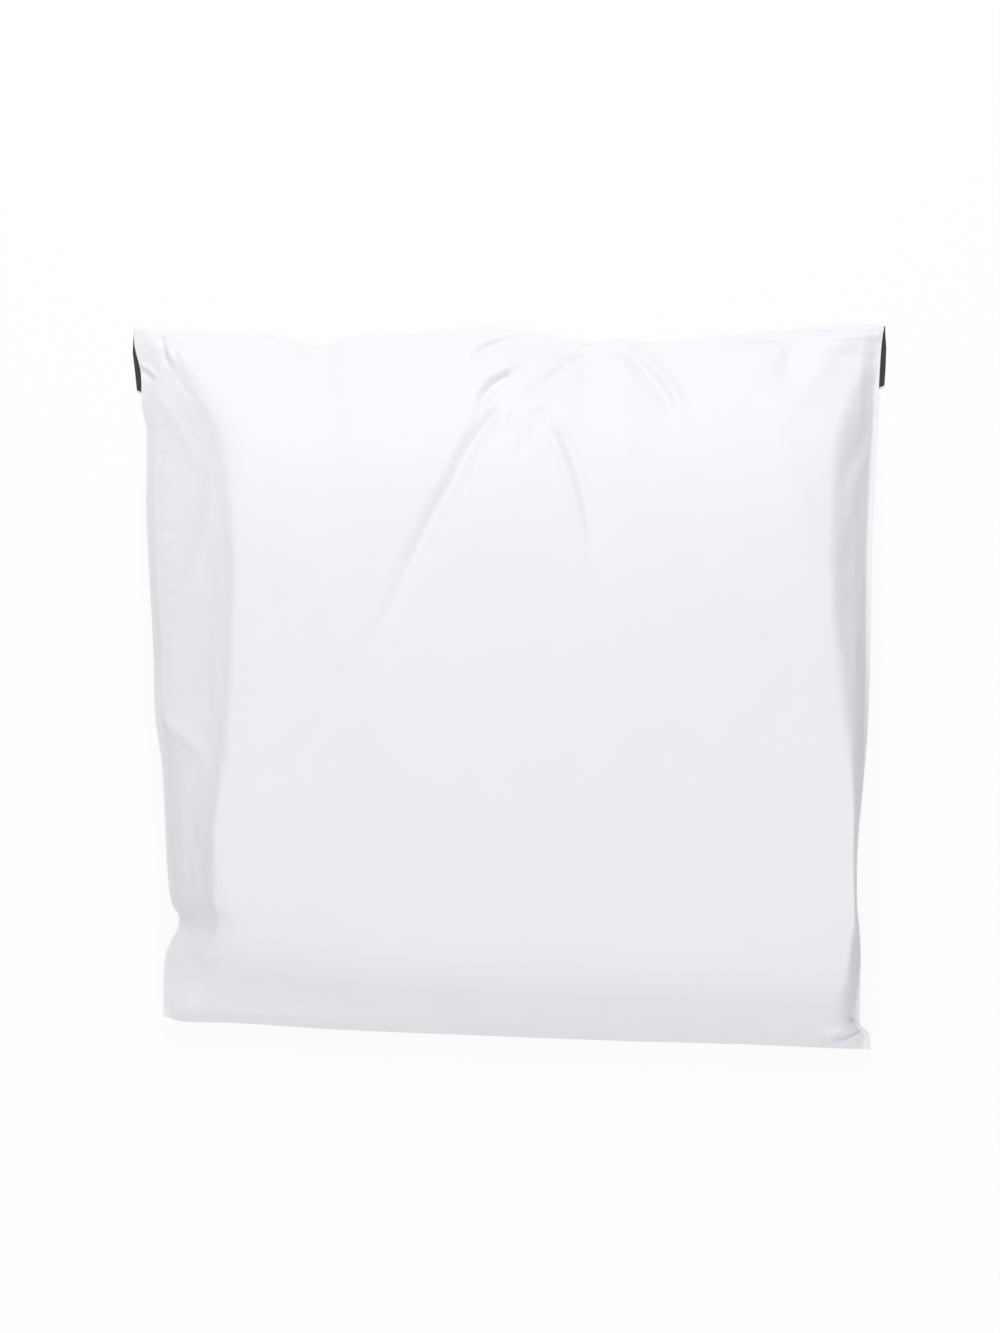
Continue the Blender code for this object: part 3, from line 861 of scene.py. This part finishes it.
@dataclass
class MailerFilm:
    """The one film that makes the bag: front panel, top fold, flap and back panel, as one closed skin."""

    packed: PackedBag
    wrinkles: Wrinkles
    trial: SlackTrial
    flanks: tuple[TautFlank, TautFlank] = (LEFT_FLANK, RIGHT_FLANK)
    columns: int = 320
    rows: int = 320
    roll_rows: int = 8
    flap_rows: int = 24
    flap_span: float = 0.075
    flap_readings: int = 150
    hem: float = 6.0 * MM
    hem_thickness: float = 1.6 * MM
    least_thickness: float = 0.5 * MM
    weld_depth: float = 0.08 * MM
    weld_width: float = 0.8 * MM
    edge_inset: float = 0.25 * MM
    read_rounds: int = 16
    settle_rounds: int = 6
    dip_rounds: int = 150
    dip_reach: float = 14 * MM
    dip_clear: float = 80 * MM
    dip_blend: float = 30 * MM
    droop_width: float = 7 * MM
    # Y and depth, in metres
    left_droop: Stops = (
        (-0.28, 0.0), (-0.20, 0.001), (-0.03, 0.001), (0.03, 0.0033), (0.19, 0.002), (0.24, 0.0)
    )
    right_droop: Stops = ((-0.27, 0.0), (-0.20, 0.006), (-0.05, 0.006), (0.04, 0.001), (0.10, 0.0))
    # Share and density of the grid's columns and rows: closest at the welds, the folds and the creases
    column_density: Stops = (
        (0, 5), (0.012, 4.5), (0.03, 2), (0.07, 1.5), (0.1, 1), (0.4, 1),
        (0.46, 1.5), (0.7, 1.5), (0.8, 1), (0.97, 1), (0.988, 4.5), (1, 5),
    )
    row_density: Stops = (
        (0, 4), (0.02, 2), (0.05, 1), (0.55, 1), (0.8, 1.7), (0.96, 2.0), (0.985, 4), (1, 4)
    )
    sharp_degrees: float = 55
    front: np.ndarray = field(init=False, repr=False)
    inner: np.ndarray = field(init=False, repr=False)

    def panel_grid(self, across: np.ndarray, along: np.ndarray, back: bool = False) -> np.ndarray:
        """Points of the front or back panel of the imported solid.

        Args:
            across: Shares of the width.
            along: Shares of the length, from the bottom fold to the top one.
            back: Whether the back panel is read.

        Returns:
            The points, by column and row.
        """
        packed = self.packed
        tops, bottoms = packed.end_line(across, 1), packed.end_line(across, -1)
        ys = bottoms[:, None] + (tops - bottoms)[:, None] * along[None, :]
        lefts = np.interp(ys, packed.rows, packed.lefts)
        rights = np.interp(ys, packed.rows, packed.rights)
        xs = lefts + (rights - lefts) * across[:, None]
        read_xs = np.clip(xs, lefts + self.edge_inset, rights - self.edge_inset)
        read_ys = np.clip(ys, (bottoms + self.edge_inset)[:, None], tops[:, None])
        free = None
        if back:
            free = np.array([packed.flap_edge(share, top) for share, top in zip(across, tops)])
        return np.stack([xs, ys, packed.heights(read_xs, read_ys, free)], axis=2)

    def even_out(self, grid: np.ndarray) -> np.ndarray:
        """Heights of the front panel with the top fold's dips fading out down the film."""
        wide = grid[..., 2].copy()
        for _ in range(self.dip_rounds):
            wide[1:-1] = (wide[:-2] + 2 * wide[1:-1] + wide[2:]) / 4
        below = smooth((grid[:, -1:, 1] - grid[..., 1] - self.dip_reach) / self.dip_reach)
        ends = np.minimum(grid[..., 0] - grid[:1, :, 0], grid[-1:, :, 0] - grid[..., 0])
        share = below * smooth((ends - self.dip_clear) / self.dip_blend)
        return grid[..., 2] + (wide - grid[..., 2]) * share

    def inwards(self, grid: np.ndarray, edge: np.ndarray) -> np.ndarray:
        """How far in from a side's edge each point of a panel lies."""
        return np.abs(grid[..., 0] - np.interp(grid[..., 1], self.packed.rows, edge))

    def hem_droop(self, grid: np.ndarray) -> np.ndarray:
        """How far each side weld hangs below the film beside it, where it is clear of the ground."""
        total = np.zeros(grid.shape[:2])
        for edge, stops in ((self.packed.lefts, self.left_droop), (self.packed.rights, self.right_droop)):
            places, depths = zip(*stops)
            near = np.clip(1 - self.inwards(grid, edge) / self.droop_width, 0.0, 1.0)
            total += np.interp(grid[..., 1], places, depths) * near
        return total

    def slack(
        self, front: np.ndarray, fullness: np.ndarray, shares: tuple[np.ndarray, np.ndarray]
    ) -> np.ndarray:
        """How far the film's spare length moves each point of the front panel.

        Args:
            front: The panel's points.
            fullness: Height of the front panel over the back one, at each point.
            shares: Shares of the panel's columns and of its rows.

        Returns:
            One move for each point.
        """
        even = (np.linspace(0.0, 1.0, self.trial.count + 1),) * 2
        coarse = np.stack([resample(front[..., k], shares, even) for k in range(3)], axis=2)
        moved = self.trial.run(coarse, resample(fullness, shares, even))
        log.info("film_trial: largest move %.1f mm", np.abs(moved).max() / MM)
        return np.stack([resample(moved[..., k], even, shares) for k in range(3)], axis=2)

    def front_grid(self, across: np.ndarray, along: np.ndarray, back: np.ndarray) -> np.ndarray:
        """The front panel as the render shows it, with its slack, creases and welds.

        Args:
            across: Shares of the width.
            along: Shares of the length.
            back: The back panel's points, at every other share.

        Returns:
            The points, by column and row.
        """
        edges = (self.packed.lefts, self.packed.rights)
        front = self.panel_grid(across, along)
        front[..., 2] = relax(front[..., 2], self.read_rounds)
        front[..., 2] = self.even_out(front)
        for flank, edge in zip(self.flanks, edges):
            front[..., 2] = flank.shape(front, np.interp(front[..., 1], self.packed.rows, edge))
        front[..., 2] = relax(front[..., 2], self.settle_rounds)
        front[..., 2] -= self.hem_droop(front)
        under = resample(back[..., 2], (across[::2], along[::2]), (across, along))
        fullness = np.maximum(front[..., 2] - under - self.hem_thickness, 0.0)
        front += self.slack(front, fullness, (across, along))
        front[..., 2] += self.wrinkles.lift(self.packed, front, fullness)
        for edge in edges:
            off_weld = (self.inwards(front, edge) - self.hem) / self.weld_width
            front[..., 2] -= self.weld_depth * np.exp(-(off_weld**2))
        front[..., 2] = np.maximum(front[..., 2], under + self.least_thickness)
        return front

    def roll_and_flap(self, edge: np.ndarray, inner: bool) -> np.ndarray:
        """The rows that follow a panel: round the top fold and along the flap.

        Args:
            edge: The panel's last row of points.
            inner: Whether these are the rows inside the fold.

        Returns:
            The points, by column and row.
        """
        packed = self.packed
        share = 2 if inner else 1
        roll, flap = self.roll_rows // share, self.flap_rows // share
        radius, floor = (CREASE_RADIUS, FLAP_THICKNESS) if inner else (ROLL_RADIUS, 0.0)
        rows = np.linspace(packed.high.y - self.flap_span, packed.high.y, self.flap_readings)
        lefts, rights = (np.array([packed.flap_side(y, sign) for y in rows]) for sign in (-1, 1))
        good = lefts < packed.low.x * 0.9
        line = edge[:, 1]
        across = (edge[:, 0] - edge[0, 0]) / (edge[-1, 0] - edge[0, 0])
        free = np.array([packed.flap_edge(min(max(u, 0.01), 0.99), y) for u, y in zip(across, line)])
        points = []
        for k in range(1, roll):
            turn = math.pi * k / roll
            z = edge[:, 2] * (1 + math.cos(turn)) / 2 + floor * (1 - math.cos(turn)) / 2
            points.append(np.column_stack([edge[:, 0], line + radius * math.sin(turn), z]))
        for k in range(flap + 1):
            ys = line + (free - line) * k / flap
            left, right = (np.interp(ys, rows[good], side[good]) for side in (lefts, rights))
            points.append(np.column_stack([left + (right - left) * across, ys, np.full(len(ys), floor)]))
        return np.stack(points, axis=1)

    def build(self) -> bpy.types.Object:
        """Make the film's object, with no material yet."""
        across, along = graded(self.columns, self.column_density), graded(self.rows, self.row_density)
        back = self.panel_grid(across[::2], along[::2], back=True)
        back[..., 2] = relax(back[..., 2], self.settle_rounds)
        back[..., 2] -= self.hem_droop(back)
        self.front = self.front_grid(across, along, back)
        outer = np.concatenate([self.front, self.roll_and_flap(self.front[:, -1], False)], axis=1)
        self.inner = np.concatenate([back, self.roll_and_flap(back[:, -1], True)], axis=1)
        outer_index = numbered(outer)
        inner_index = numbered(self.inner, outer_index.size)
        faces = grid_faces(outer_index) + [face[::-1] for face in grid_faces(inner_index)]
        # The outer grid is twice as fine as the inner one, so five-sided faces join their borders
        outside, inside = border(outer_index), border(inner_index)
        for k in range(len(inside)):
            start, half, end = outside[2 * k], outside[2 * k + 1], outside[(2 * k + 2) % len(outside)]
            faces.append((end, half, start, inside[k], inside[(k + 1) % len(inside)]))
        points = np.concatenate([outer.reshape(-1, 3), self.inner.reshape(-1, 3)])
        film = mesh_object("mailer_film", points, faces)
        film.data.shade_smooth()
        film.data.set_sharp_from_angle(angle=math.radians(self.sharp_degrees))
        return film


@dataclass
class FlapLining:
    """The film's dark inner layer, bare on the flap's inside and seen past the body's two edges."""

    film: MailerFilm
    thickness: float = 0.22 * MM
    inset: float = 0.10 * MM

    def build(self) -> bpy.types.Object:
        """Make the lining's object, a thin closed sheet on the flap."""
        flap = self.film.inner[:, -(self.film.flap_rows // 2 + 1) :].copy()
        middle = (flap[0, :, 0] + flap[-1, :, 0]) / 2
        half = (flap[-1, :, 0] - flap[0, :, 0]) / 2
        flap[..., 0] = middle + (flap[..., 0] - middle) * (half - self.inset) / half
        flap[:, -1, 1] += self.inset
        top, base = flap.copy(), flap.copy()
        top[..., 2] += self.thickness
        base[..., 2] -= self.thickness
        upper = numbered(flap)
        lower = numbered(flap, upper.size)
        faces = [face[::-1] for face in grid_faces(upper)] + grid_faces(lower)
        above, below = border(upper), border(lower)
        for k in range(len(above)):
            faces.append((above[k - 1], above[k], below[k], below[k - 1]))
        return mesh_object("flap_lining", np.concatenate([top.reshape(-1, 3), base.reshape(-1, 3)]), faces)


@dataclass
class WeldBeads:
    """The bead of molten film that a hot knife leaves along each side weld."""

    film: MailerFilm
    radius: float = 0.45 * MM
    inset: float = 0.5 * MM
    sunk: float = 0.4
    unevenness: float = 0.15
    sides: int = 8
    seed: int = 5

    def paths(self) -> bpy.types.Object:
        """The two lines that the beads follow, as an object of loose edges."""
        front, points, edges = self.film.front, [], []
        for column, sign in ((0, 1), (-1, -1)):
            line = front[column, ::2].copy()
            line[:, 0] += sign * self.inset
            line[:, 2] -= self.radius * self.sunk
            edges += [(len(points) + k, len(points) + k + 1) for k in range(len(line) - 1)]
            points += line.tolist()
        return mesh_object("weld_paths", np.array(points), [], edges)

    def tree(self) -> bpy.types.NodeTree:
        """The node tree that sweeps a slightly uneven round bead along edges.

        Returns:
            The tree, with the inputs Radius, Unevenness, Seed and Film.
        """
        tree = bpy.data.node_groups.new("weld_bead", "GeometryNodeTree")
        kinds = {"Geometry": "Geometry", "Radius": "Float", "Unevenness": "Float", "Seed": "Int"}
        for name, kind in (kinds | {"Film": "Material"}).items():
            tree.interface.new_socket(name, in_out="INPUT", socket_type=f"NodeSocket{kind}")
        tree.interface.new_socket("Geometry", in_out="OUTPUT", socket_type="NodeSocketGeometry")
        given = add_node(tree, "NodeGroupInput").outputs
        line = add_node(tree, "GeometryNodeMeshToCurve", {"Mesh": given["Geometry"]})
        low = add_node(tree, "ShaderNodeMath", {0: 1.0, 1: given["Unevenness"]}, operation="SUBTRACT")
        high = add_node(tree, "ShaderNodeMath", {0: 1.0, 1: given["Unevenness"]}, operation="ADD")
        between = {2: low.outputs[0], 3: high.outputs[0], "Seed": given["Seed"]}
        size = add_node(tree, "FunctionNodeRandomValue", between)
        circle = {"Resolution": self.sides, "Radius": given["Radius"]}
        ring = add_node(tree, "GeometryNodeCurvePrimitiveCircle", circle)
        sweep = {
            "Curve": line.outputs["Curve"],
            "Profile Curve": ring.outputs["Curve"],
            "Scale": size.outputs[1],
            "Fill Caps": True,
        }
        bead = add_node(tree, "GeometryNodeCurveToMesh", sweep)
        soft = add_node(tree, "GeometryNodeSetShadeSmooth", {"Geometry": bead.outputs["Mesh"]})
        whole = add_node(tree, "GeometryNodeRealizeInstances", {"Geometry": soft.outputs["Geometry"]})
        covering = {"Geometry": whole.outputs["Geometry"], "Material": given["Film"]}
        dressed = add_node(tree, "GeometryNodeSetMaterial", covering)
        add_node(tree, "NodeGroupOutput", {"Geometry": dressed.outputs["Geometry"]})
        return tree

    def build(self, material: bpy.types.Material) -> bpy.types.Object:
        """Make the beads' object, a plain mesh of the film's material."""
        path, tree = self.paths(), self.tree()
        modifier = path.modifiers.new("Beads", "NODES")
        modifier.node_group = tree
        values = {"Radius": self.radius, "Unevenness": self.unevenness, "Seed": self.seed, "Film": material}
        for item in tree.interface.items_tree:
            if item.in_out == "INPUT" and item.name in values:
                modifier[item.identifier] = values[item.name]
        made = path.evaluated_get(bpy.context.evaluated_depsgraph_get())
        mesh = bpy.data.meshes.new_from_object(made)
        bpy.data.objects.remove(path)
        mesh.name = "weld_beads"
        return place_object("weld_beads", mesh)


@dataclass(frozen=True)
class SoftLamp:
    """A square soft lamp that shines on the bag's middle. Its place and side are in metres."""

    name: str
    place: tuple[float, float, float]
    size: float
    watts: float

    def build(self) -> None:
        """Put the lamp into the scene."""
        light = bpy.data.lights.new(self.name, "AREA")
        light.shape = "SQUARE"
        light.size = self.size
        light.energy = self.watts
        lamp = place_object(self.name, light)
        lamp.location = self.place
        lamp.rotation_euler = (-Vector(self.place)).to_track_quat("-Z", "Y").to_euler()


@dataclass
class Studio:
    """White paper, a large soft lamp past the bag's top end, a fill lamp, pale surroundings, a camera."""

    key: SoftLamp = SoftLamp("key", (-0.10, 2.1, 1.6), 1.7, 33.5)
    fill: SoftLamp = SoftLamp("fill", (0.1, -1.9, 1.7), 1.4, 16.3)
    view_middle: tuple[float, float] = (-7.7 * MM, 16.1 * MM)
    view_height: float = 1.0741
    view_level: float = 25 * MM
    lens: float = 100.0
    sensor: float = 36.0
    floor_size: float = 14.0
    floor_drop: float = 0.3 * MM
    sky: float = 0.575
    sky_colour: tuple[float, float, float, float] = (0.97, 0.985, 1.0, 1.0)
    flag: float = 0.46
    flag_span: tuple[float, float] = (0.35, 0.95)

    def add_floor(self) -> bpy.types.Object:
        """Make the paper floor, just under the bag."""
        half, level = self.floor_size / 2, -self.floor_drop
        sides = ((-half, -half), (half, -half), (half, half), (-half, half))
        corners = np.array([(x, y, level) for x, y in sides])
        floor = mesh_object("paper_floor", corners, [(0, 1, 2, 3)])
        floor.data.materials.append(StudioPaper().make())
        return floor

    def add_world(self) -> None:
        """Surround the scene with even pale light, held back by a dark flag on the right."""
        world = bpy.data.worlds.new("studio_surroundings")
        world.use_nodes = True
        tree = world.node_tree
        sky = tree.nodes["Background"]
        sky.inputs["Color"].default_value = self.sky_colour
        toward = add_node(tree, "ShaderNodeTexCoord").outputs["Generated"]
        rightward = add_node(tree, "ShaderNodeSeparateXYZ", {"Vector": toward}).outputs["X"]
        start, end = self.flag_span
        limits = {"From Min": start, "From Max": end, "To Min": self.sky, "To Max": self.flag}
        level = add_node(tree, "ShaderNodeMapRange", {"Value": rightward} | limits)
        tree.links.new(level.outputs["Result"], sky.inputs["Strength"])
        bpy.context.scene.world = world

    def add_camera(self) -> None:
        """Add the camera, straight above the bag."""
        data = bpy.data.cameras.new("camera")
        data.lens = self.lens
        data.sensor_width = self.sensor
        camera = place_object("camera", data)
        distance = self.view_height * self.lens / self.sensor
        camera.location = (*self.view_middle, self.view_level + distance)
        bpy.context.scene.camera = camera

    def build(self) -> None:
        """Set up the floor, the lights, the surroundings and the camera."""
        self.add_floor()
        self.key.build()
        self.fill.build()
        self.add_world()
        self.add_camera()
        bpy.context.scene.view_settings.view_transform = "Standard"


def main() -> None:
    """Build the bag's pieces in order and report each one."""
    logging.basicConfig(level=logging.INFO, format="%(name)s: %(message)s")
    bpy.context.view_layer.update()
    white, dark = WhiteFilm().make(), DarkLining().make()
    film = MailerFilm(PackedBag(NODE), Wrinkles(GRIP_FOLDS + CORNER_FOLDS, EDGE_FOLDS), SlackTrial())
    skin = film.build()
    skin.data.materials.append(white)
    lining = FlapLining(film).build()
    lining.data.materials.append(dark)
    beads = WeldBeads(film).build(white)
    for piece, slot in ((skin, "white_film"), (lining, "dark_lining"), (beads, "white_film")):
        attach(piece, BODY)
        log.info("%s: %d faces", piece.name, len(piece.data.polygons))
    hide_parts(NODE)
    Studio().build()


if __name__ == "__main__":
    main()
